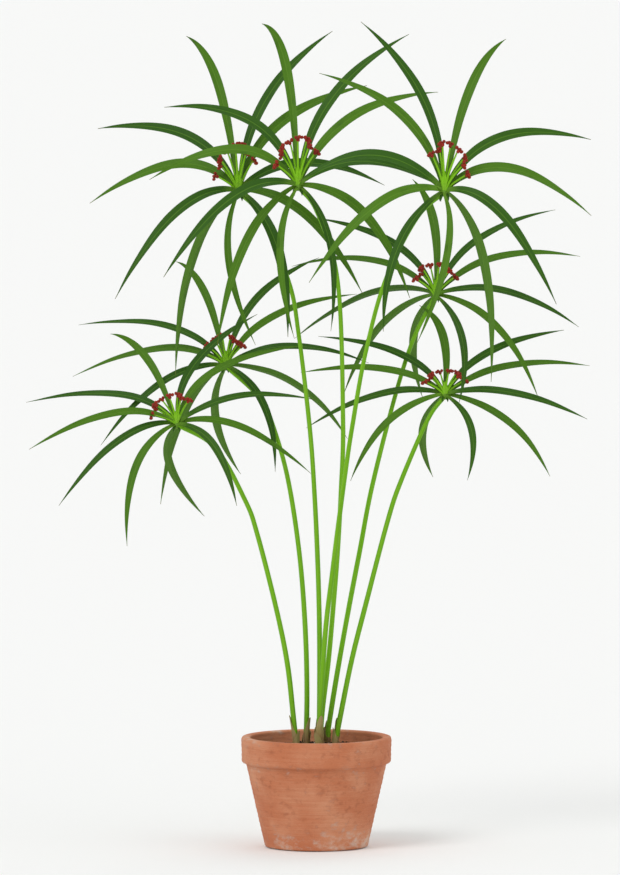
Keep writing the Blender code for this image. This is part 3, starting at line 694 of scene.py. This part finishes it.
stems = {
    "foot": 3.0,  # radius
    "top": 2.3,
    "thinBy": 0.56,  # metres of height over which the stem thins
    "lean": 1.6,  # how late the stem leans forward or back
    "short": 1.5,  # how far below the crown's middle it ends
    "swelling": (0.1, 0.02),  # how much it swells under the crown, and over how many metres
    "sides": 30,
    "perSpan": 14,
    "three": 0.055,  # how three-sided the stem is
    "ribs": 0.022,
    "ribCount": 10,
    "twist": 0.9,  # metres in which it turns by one radian
    "knots": 0.012,
    "knotSpacing": 0.021,
    "sheaths": [(0.55, 30, 1.1), (1.15, 17, 1.9)],  # clearance, height over the soil, flare
    "sheathFoot": 98,
    "sheathRows": 16,
    "sheathSkin": 0.32,
    "shortSide": 0.52,  # height of a sheath's low side, as a share of the high one
    "ripple": 0.12,
    "ripples": 7,
    "apart": (900, 500),  # mm between one stem's texture and the next, and one sheath's
    "gloss": 0.15,
    "sheathGloss": 0.3,
    # the textures, per mm across and along
    "streaks": (1.5, 1.5, 0.018),
    "hairs": (4.5, 4.5, 0.05),
    "cloud": (0.05, 0.05, 0.012),
    "specks": (1.1, 1.1, 0.35),
    "sheathFibre": (1.9, 1.9, 0.05),
    "sheathPatch": (0.25, 0.25, 0.12),
    "bright": (0.15, 0.392, 0.007),
    "light": (0.205, 0.46, 0.02),
    # deep green, for dark streaks and for the painted shade in the stem's hollows
    "deep": (0.09, 0.29, 0.006),
    "footColour": (0.33, 0.42, 0.09),
    "speckColour": (0.16, 0.13, 0.04),
    "sheathColours": [  # from a sheath's foot to its mouth
        (0.1, (0.1, 0.035, 0.02)), (0.45, (0.26, 0.14, 0.055)),
        (0.75, (0.36, 0.32, 0.1)), (0.95, (0.42, 0.3, 0.14)),
    ],
    "fibreColour": (0.52, 0.4, 0.22),
}


def stemRoute(plant, perSpan):
    foot, crown = plant["back"]
    low, high = plant["stem"][0][1], plant["stem"][-1][1]
    points = []
    for right, up in plant["stem"]:
        points.append(place(right, foot + (crown - foot) * ((up - low) / (high - low)) ** stems["lean"], up))
    return smoothPath(points, perSpan)


def stemRadius(height):  # in metres, from a height in metres
    return (stems["foot"] - (stems["foot"] - stems["top"]) * np.clip(height / stems["thinBy"], 0, 1)) * mm


def makeStem(number, plant):
    rng = np.random.default_rng(100 + number)
    route = stemRoute(plant, stems["perSpan"])
    route[-1] = route[-1] + unit(route[-2] - route[-1]) * stems["short"] * mm
    length = along(route)[1][:, None]
    turn = ringAngles(stems["sides"]) + (rng.uniform(0, 6) + length / stems["twist"])
    more, over = stems["swelling"]
    radii = stemRadius(route[:, 2])[:, None] * (1 + more * ease(length, length[-1] - over, length[-1]))
    form = stems["three"] * np.cos(3 * turn) + stems["ribs"] * np.cos(stems["ribCount"] * turn)
    knots = stems["knots"] * np.sin(length / stems["knotSpacing"] + rng.uniform(0, 6))
    points, grain = tube(route, radii * (1 + form + knots), stems["sides"])
    # the second trait is the section's form, low where it sinks in; the stem is painted darker there: painted
    # shade
    traits = stacked(length / length[-1], form * 10, rng.random())
    shape = Shape()
    shape.grid(points, grain + (0, 0, stems["apart"][0] * number), traits)
    makeSheaths(shape, rng, route, number)
    shape.piece(f"stem_{number}", [stemMaterial, sheathMaterial], "stem_green", f"stem_{number}")


def makeSheaths(shape, rng, route, number):  # the papery collars at the stem's foot
    share = np.linspace(0, 1, stems["sheathRows"])[:, None]
    angle = ringAngles(stems["sides"])
    spoke = stacked(np.cos(angle), np.sin(angle), 0)
    for clearance, height, flare in stems["sheaths"]:
        low = stems["sheathFoot"] * mm
        high = (soil["edge"] + soil["mound"] + height * rng.uniform(0.8, 1.2)) * mm
        # one side runs to a point
        mouth = (1 + np.cos(angle - rng.uniform(0, 6))) / 2
        mouth = stems["shortSide"] + (1 - stems["shortSide"]) * mouth**1.6
        level = low + (high - low) * mouth * share
        centre = stacked(*(np.interp(level, route[:, 2], route[:, axis]) for axis in range(3)))
        ripple = stems["ripple"] * np.cos(stems["ripples"] * angle + 3 * share) * share
        opening = flare * share**4 * (0.4 + 0.6 * mouth**4)
        outer, inner = [
            centre + (stemRadius(level) + (clearance - skin + opening + ripple) * mm)[..., None] * spoke
            for skin in (0, stems["sheathSkin"])
        ]
        points = np.concatenate([outer, inner[::-1]])
        rise = share * mouth
        grain = stacked(np.cos(angle) * 4, np.sin(angle) * 4, points[..., 2] / mm + stems["apart"][1] * number)
        traits = stacked(np.concatenate([rise, rise[::-1]]), 0, rng.random())
        shape.grid(points, grain, traits, 1, ring=True)


def stemLook():
    look = Look("stem", stems["gloss"])
    up, rib, _ = look.parts("traits")
    streaks = look.noise(stems["streaks"], 4, 0.6)
    hairs = look.noise(stems["hairs"], 3, 0.6)
    cloud = look.noise(stems["cloud"])
    specks = look.noise(stems["specks"], 2)
    colour = look.layers(
        stems["bright"],
        (stems["light"], streaks, 0.42, 0.66, 1),
        (stems["deep"], hairs, 0.52, 0.7, 0.45),
        # painted shade: darker where the section sinks in, on its flat sides and between its ribs
        (stems["deep"], rib, 0.1, -0.6, 0.3),
        (stems["light"], cloud, 0.5, 0.75, 0.35),
        (stems["footColour"], up, 0.1, 0.0, 0.6),
        (stems["speckColour"], specks, 0.74, 0.8, 0.35),
    )
    return look.finish(colour, 0.36 + streaks * 0.2, hairs * 0.5 + streaks * 0.5, 0.25, 0.7)


def sheathLook():
    look = Look("sheath", stems["sheathGloss"])
    rise = look.parts("traits")[0]
    fibre = look.noise(stems["sheathFibre"], 4, 0.6)
    patch = look.noise(stems["sheathPatch"])
    colour = look.ramp(rise * 0.75 + patch * 0.35, stems["sheathColours"])
    colour = look.layers(colour, (stems["fibreColour"], fibre, 0.45, 0.7, 0.6))
    return look.finish(colour, 0.55 + fibre * 0.25, fibre, 0.35)


stemMaterial, sheathMaterial = stemLook(), sheathLook()

leaves = {
    "rows": 44,
    "across": 8,
    "root": 2.4,  # from the crown's middle to where a leaf begins
    "lift": 0.8,  # how much higher than the crown's middle it begins
    "spread": 1.6,  # and how much higher still for one that stands, or lower for one that hangs
    "rootShare": 0.46,  # of the full width, for a level leaf
    "steepRoot": 0.3,  # and for one that stands or hangs straight
    "widest": 0.38,  # the share of its length at which it is widest
    "steepWidest": 0.52,
    "taper": 2.3,  # how late it narrows to its tip
    "steepTaper": 1.8,
    "tip": 0.05,
    "turn": 0.58,  # how much of the way a leaf turns its face, or its back, to the front
    "middleDepth": 0.6,
    "uprightDepth": 0.88,
    "keel": 0.17,  # depth of the fold, as a share of the full width
    "rootKeel": 0.42,
    "rootLength": 0.22,  # share of the length over which the one becomes the other
    "valley": 0.02,  # how rounded the fold is
    "thickness": 0.75,
    "edge": 0.16,
    "rib": 0.4,  # how far the midrib stands out below
    "ribWidth": 0.16,
    "twist": 0.22,
    "wave": 0.35,
    "waveSpacing": 0.013,  # metres
    "fullWave": 6,  # a leaf narrower than this waves less
    "tones": {"m": 0.86, "d": 0.1},  # from dark green, 0, to mid green, 1
    "toneDrift": 0.1,
    "bracts": (0.2, 2.1, 4.0),  # the ways that the short bracts under a crown point, in radians
    "bractMiddle": (4.5, 5),  # how far out and how far down
    "bractTip": (5.4, 11),
    "bractShift": (-1, -3),  # right and back
    "bractWidth": 3.6,
    "bractRoot": 1.6,
    "bractRows": 12,
    "knot": [(0.5, -5.5), (2.6, -5.2), (3.3, -3.4), (3.5, -1.4), (3.1, 0.6), (1.8, 1.8), (0.5, 2.2)],
    "knotLeast": 0.72,  # its size in a crown whose leaves have no width
    "knotSides": 24,
    "gloss": 0.16,
    "roughness": 0.4,
    # the textures, per mm across, from leaf to leaf and along
    "fibre": (2.2, 1, 0.03),
    "cloud": (0.09, 1, 0.035),
    "spots": (0.9, 1, 0.28),
    "veins": 34,
    "mid": (0.069, 0.184, 0.006),
    "midLight": (0.098, 0.235, 0.016),
    "dark": (0.022, 0.086, 0.004),
    "darkLight": (0.036, 0.121, 0.008),
    "shadow": (0.016, 0.064, 0.004),
    "midrib": (0.12, 0.27, 0.022),
    "under": (0.095, 0.205, 0.035),
    "young": (0.2, 0.4, 0.035),
    "dry": (0.3, 0.17, 0.055),
}


def toSteep(level, steep, steepness):  # a value between that of a level leaf and that of a steep one
    return leaves[level] + (leaves[steep] - leaves[level]) * steepness**2


def leafShare(t, steepness):  # of the full width
    root = toSteep("rootShare", "steepRoot", steepness)
    widest = toSteep("widest", "steepWidest", steepness)
    taper = toSteep("taper", "steepTaper", steepness)
    rise = root + (1 - root) * np.sin(np.clip(t / widest, 0, 1) * math.pi / 2)
    fall = 1 - np.clip((t - widest) / (1 - widest), 0, 1) ** taper
    return np.maximum(np.where(t < widest, rise, fall), leaves["tip"])


def facing(direction, side, face):  # how far a blade has to turn to lie square to the eye, along its length
    eye = np.array(toCamera)
    eye = unit(eye - direction * (direction @ eye)[:, None])
    angle = np.arctan2(-(side * eye).sum(1), (face * eye).sum(1))
    angle = np.unwrap(angle, period=math.pi)
    return angle - math.pi * np.round(angle[len(angle) // 2] / math.pi)


def makeLeaf(shape, rng, crown, width, middle, tip, back, tone, bow=0.5, share=1, root="root", rows="rows"):
    # the centre line, through the leaf's middle as it is seen
    steepness = middle[1] / math.hypot(*middle)
    depth = toSteep("middleDepth", "uprightDepth", max(0, steepness))
    middleAt = crown + place(middle[0], back * depth, middle[1])
    tipAt = crown + place(tip[0], back, tip[1])
    outward = unit((tipAt - crown) * (1, 1, 0))
    start = crown + outward * leaves[root] * mm
    start = start + np.array([0, 0, leaves["spread"] * steepness + leaves["lift"]]) * mm
    bend = (middleAt - start * (1 - bow) ** 2 - tipAt * bow**2) / (2 * bow * (1 - bow))
    t = np.linspace(0, 1, leaves[rows])
    path = bezier([start, bend, tipAt], leaves[rows])
    direction, length = along(path)
    # the way that the blade lies
    level = np.array([-outward[1], outward[0], 0])
    side = unit(level - direction * (direction @ level)[:, None])
    face = np.cross(direction, side)
    twist = leaves["twist"] * rng.uniform(-1, 1) * ease(t, 0.1, 1)
    angle = (leaves["turn"] * facing(direction, side, face) + twist)[:, None]
    side, face = side * np.cos(angle) + face * np.sin(angle), face * np.cos(angle) - side * np.sin(angle)
    # its section: folded, waved, thin at the edges, with a rib below
    t, length = t[:, None], length[:, None]
    width = width * share * mm
    full = leafShare(t, steepness) * width
    thin = full / width
    u = np.linspace(-1, 1, leaves["across"] + 1)
    keel = leaves["keel"] + (leaves["rootKeel"] - leaves["keel"]) * (1 - ease(t, 0.0, leaves["rootLength"]))
    fold = np.sqrt(u * u + leaves["valley"]) - math.sqrt(leaves["valley"])
    wave = leaves["wave"] * mm * np.sin(length / leaves["waveSpacing"] + rng.uniform(0, 6))
    wave = wave * u * u * ease(t, 0.1, 0.4) * np.minimum(full / (leaves["fullWave"] * mm), 1)
    up = keel * full * fold + wave
    skin = (leaves["edge"] + (leaves["thickness"] - leaves["edge"]) * (1 - u * u)) * mm * np.sqrt(thin)
    rib = leaves["rib"] * mm * np.exp(-((u / leaves["ribWidth"]) ** 2)) * thin
    blade = path[:, None] + (u * full / 2)[..., None] * side[:, None]
    top = blade + (up + skin / 2)[..., None] * face[:, None]
    low = blade + (up - skin / 2 - rib)[..., None] * face[:, None]
    both = np.concatenate([u, u[::-1]])
    grain = stacked(both * full / 2 / mm, rng.uniform(0, 1000), length / mm)
    # a leaf's shade is its tone, and 2 more on its underside
    shade = leaves["tones"][tone] + rng.uniform(-leaves["toneDrift"], leaves["toneDrift"])
    below = np.repeat((0, 2), len(u))
    shape.grid(np.concatenate([top, low[:, ::-1]], 1), grain, stacked(t, both, shade + below))


def makeCrown(number, plant):
    rng = np.random.default_rng(200 + number)
    crown = stemRoute(plant, 2)[-1]
    shape = Shape()
    for leaf in plant["leaves"]:
        makeLeaf(shape, rng, crown, plant["leafWidth"], *leaf)
    size = plant["leafWidth"] / broadLeaf
    right, back = leaves["bractShift"]
    for turn in leaves["bracts"]:
        middle, tip = [
            (out * size * math.cos(turn) + right, -down * size)
            for out, down in (leaves["bractMiddle"], leaves["bractTip"])
        ]
        away = back - leaves["bractTip"][0] * size * math.sin(turn)
        width = leaves["bractWidth"] * size
        makeLeaf(shape, rng, crown, width, middle, tip, away, "d", root="bractRoot", rows="bractRows")
    points = lathe(np.array(leaves["knot"]), leaves["knotSides"])
    points = points * (leaves["knotLeast"] + (1 - leaves["knotLeast"]) * size)
    shape.grid(points * mm + crown, points, (0.0, 0.5, 0.2))
    shape.piece(f"leaf_crown_{number}", [leafMaterial], "leaf_green", f"leaf_crown_{number}")


def leafLook():
    look = Look("leaf", leaves["gloss"])
    t, u, shade = look.parts("traits")
    below = look.between(shade, 1.25, 1.75)
    tone = shade - below * 2
    veins = (u * leaves["veins"]).sine()
    fibre = look.noise(leaves["fibre"], 4, 0.6)
    cloud = look.noise(leaves["cloud"])
    spots = look.noise(leaves["spots"], 2)
    lighter = look.mix(tone, leaves["darkLight"], leaves["midLight"])
    worn = t + spots * 0.05  # tips dry first
    colour = look.layers(
        look.mix(tone, leaves["dark"], leaves["mid"]),
        (lighter, fibre, 0.45, 0.72, 0.55),
        (lighter, veins, 0.3, 0.95, 0.28),
        (lighter, cloud, 0.55, 0.78, 0.4),
        (leaves["shadow"], cloud, 0.42, 0.28, 0.35),
        (leaves["midrib"], abs(u), 0.13, 0.03, 0.5),
        (leaves["young"], t, 0.14, 0.0, 0.55),
        (leaves["under"], shade, 1.25, 1.75, 0.42),
        (leaves["dry"], worn, 0.99, 1.04, 0.5),
    )
    roughness = leaves["roughness"] + fibre * 0.16 + below * 0.12 + look.between(worn, 0.99, 1.04) * 0.2
    height = veins * 0.16 + fibre * 0.5 + look.between(abs(u), 0.1, 0.0) * -0.6
    return look.finish(colour, roughness, height, 0.35, 0.75)


leafMaterial = leafLook()

heads = {
    "tall": 51,  # height of a full-grown head
    "least": 0.78,  # size of its parts in a head of no height
    "ray": 1.5,  # radius at the foot
    "rayTip": 0.85,
    "rayRows": 22,
    "raySides": 9,
    "sink": 1.5,  # how far below the crown's middle the rays begin
    "knee": 2,  # how much higher they bend
    "bundle": 1.3,  # radius of the rays where they leave the crown
    # radius and height of the trumpet that the rays grow from
    "column": [
        (0.3, -1.8), (1.5, -1.5), (1.8, 0.5), (2.3, 3), (3.0, 6.5), (3.6, 10), (3.5, 12.5), (2.9, 15),
        (2.0, 18), (1.0, 21), (0.3, 22.5),
    ],
    "columnLeast": (0.75, 0.3),  # its share of that radius and height in a head of no height
    "columnSides": 40,
    "flutes": 0.13,
    "fluteCount": 8,
    "fork": (0.14, 0.14, 0.36),  # the share of its way out and up that a ray has gone at its knee
    "depth": 6,
    "nearDepth": 0.45,  # the share of that for a ray at the head's foot
    "short": 1.2,  # how far a ray ends before the middle of its spikelets
    # the middle of each spikelet on a ray, along the head's rim and outward from it
    "beads": [(-1.8, 0.9), (1.7, 1.1), (0.1, -1.7), (4.2, 0.2)],
    "beadDrift": (0.4, 1.2),  # how far it may stray from that, and forward or back
    "stalk": 0.42,  # radius of a spikelet's own short stalk
    "bead": (1.95, 1.85, 2.2),
    "beadRows": 17,
    "beadSides": 14,
    "scaleRows": 5,
    "scale": 0.1,  # how far a scale stands out
    "apart": 77,  # mm between one ray's texture and that of a ray 1 mm from it
    "rayGloss": 0.14,
    "beadGloss": 0.15,
    "streaks": (3.5, 3.5, 0.06),
    "fine": 1.6,
    "lime": (0.185, 0.47, 0.008),
    "paleLime": (0.245, 0.53, 0.018),
    "rayFoot": (0.3, 0.55, 0.06),
    "rayEnd": (0.16, 0.15, 0.03),
    "red": (0.33, 0.024, 0.011),
    # dark red, also for the painted shade where each scale tucks under the one below
    "darkRed": (0.165, 0.012, 0.008),
    "straw": (0.42, 0.17, 0.08),
    "beadFoot": (0.16, 0.19, 0.04),
}


def makeBead(shape, rng, spot, direction, size):  # one spikelet of overlapping scales
    polar = np.linspace(0.14, math.pi - 0.1, heads["beadRows"])[:, None]
    angle = ringAngles(heads["beadSides"])
    rise = polar / math.pi
    row = np.floor(rise * heads["scaleRows"])
    phase = rise * heads["scaleRows"] - row
    lobe = np.cos(2 * angle + row * math.pi)  # scales stand in two ranks
    radius = np.sin(polar) ** 0.85 * (1 + heads["scale"] * phase * (0.55 + 0.45 * lobe))
    ball = stacked(radius * np.cos(angle), radius * np.sin(angle), -np.cos(polar)) * np.asarray(size) * mm
    third = unit(direction)
    first = unit(np.cross(third, rng.normal(size=3)))
    points = ball @ np.stack([first, np.cross(third, first), third]) + spot
    shape.grid(points, points / mm, stacked(phase, rise, rng.random()))


def makeHead(number, plant):
    rng = np.random.default_rng(300 + number)
    crown = stemRoute(plant, 2)[-1]
    clusters = plant["clusters"]
    height = max(cluster[1] for cluster in clusters)
    share = height / heads["tall"]
    size = heads["least"] + (1 - heads["least"]) * share
    stalks, beads = Shape(), Shape()
    least = np.array(heads["columnLeast"])
    points = lathe(np.array(heads["column"]) * (least + (1 - least) * (size, share)), heads["columnSides"])
    flute = np.cos(heads["fluteCount"] * np.arctan2(points[..., 1], points[..., 0]))
    points[..., :2] *= (1 + heads["flutes"] * flute * ease(points[..., 2], 0, 6))[..., None]
    stalks.grid(points * mm + crown, points, stacked(points[..., 2] / 60, 0, 0))
    for i, (right, up, *back) in enumerate(clusters):
        depth = heads["depth"] * (heads["nearDepth"] + (1 - heads["nearDepth"]) * up / height)
        depth = depth * (i % 2 * 2 - 1) + rng.uniform(-1, 1)  # the rays stand to the front and the back by turns
        depth = back[0] if back else depth
        out = unit(place(right, depth, up))
        end = crown + place(right, depth, up) - out * heads["short"] * size * mm
        foot = crown + out * (1, 1, 0) * heads["bundle"] * size * mm - (0, 0, heads["sink"] * mm)
        knee = foot + (end - crown) * heads["fork"] + (0, 0, heads["knee"] * mm)
        path = bezier([foot, knee, knee * 0.5 + end * 0.5, end], heads["rayRows"])
        radii = np.linspace(heads["ray"], heads["rayTip"], heads["rayRows"]) * size * mm
        points, grain = tube(path, radii, heads["raySides"])
        t = np.linspace(0, 1, heads["rayRows"])[:, None]
        stalks.grid(points, grain + (0, 0, heads["apart"] * right), stacked(t, 0, rng.random()))
        before, after = clusters[max(i - 1, 0)], clusters[min(i + 1, len(clusters) - 1)]
        rim = unit(place(after[0] - before[0], 0, after[1] - before[1]))  # the way the head's rim runs here
        way = -1 if i < len(clusters) / 2 else 1  # the loose spikelet hangs down the head's side
        near, deep = heads["beadDrift"]
        for step, lean in heads["beads"]:
            step = way * step + rng.uniform(-near, near)
            lean = lean + heads["short"] + rng.uniform(-near, near)
            drift = np.array([0, rng.uniform(-deep, deep), 0]) * mm
            spot = end + (rim * step + out * lean) * size * mm + drift
            line = bezier([end - out * mm, end, spot], 5)
            stalks.grid(*tube(line, np.full(5, heads["stalk"] * size * mm), 6), (0.93, 0, 0.5))
            aim = unit(out + rim * step * 0.3 + rng.uniform(-0.3, 0.3, 3))
            makeBead(beads, rng, spot, aim, np.array(heads["bead"]) * size * rng.uniform(0.88, 1.08))
    name = f"flower_head_{number}"
    stalks.piece(f"rays_{number}", [rayMaterial], "stem_green", name)
    beads.piece(f"spikelets_{number}", [spikeletMaterial], "spikelet_red", name, 40)


def rayLook():
    look = Look("ray", heads["rayGloss"])
    t, _, seed = look.parts("traits")
    streaks = look.noise(heads["streaks"], 3, 0.6)
    colour = look.layers(heads["lime"], (heads["paleLime"], streaks, 0.4, 0.65, 1))
    colour = look.layers(
        look.mix(seed * 0.25, colour, stems["bright"]),
        (heads["rayFoot"], t, 0.25, 0.0, 0.4),
        (heads["rayEnd"], t, 0.9, 1.0, 0.5),
    )
    return look.finish(colour, 0.42 + streaks * 0.15, streaks, 0.2, 0.6)


def spikeletLook():
    look = Look("spikelet", heads["beadGloss"])
    phase, rise, seed = look.parts("traits")
    fine = look.noise(heads["fine"], 3, 0.6)
    colour = look.layers(
        look.mix(seed * 0.6 + fine * 0.3, heads["red"], heads["darkRed"]),
        # painted shade: darker at each scale's foot, in the crease under the edge of the scale below
        (heads["darkRed"], phase, 0.3, 0.0, 0.6),
        (heads["straw"], phase + fine * 0.3, 0.92, 1.15, 0.6),
        (heads["beadFoot"], rise, 0.16, 0.04, 0.5),
    )
    return look.finish(colour, 0.46 + fine * 0.22, fine + phase * 0.4, 0.2, 0.7)


rayMaterial, spikeletMaterial = rayLook(), spikeletLook()

for number, plant in enumerate(plants, 1):
    makeStem(number, plant)
    makeCrown(number, plant)
    makeHead(number, plant)
    print("Plant", number, "done")

bpy.context.view_layer.update()
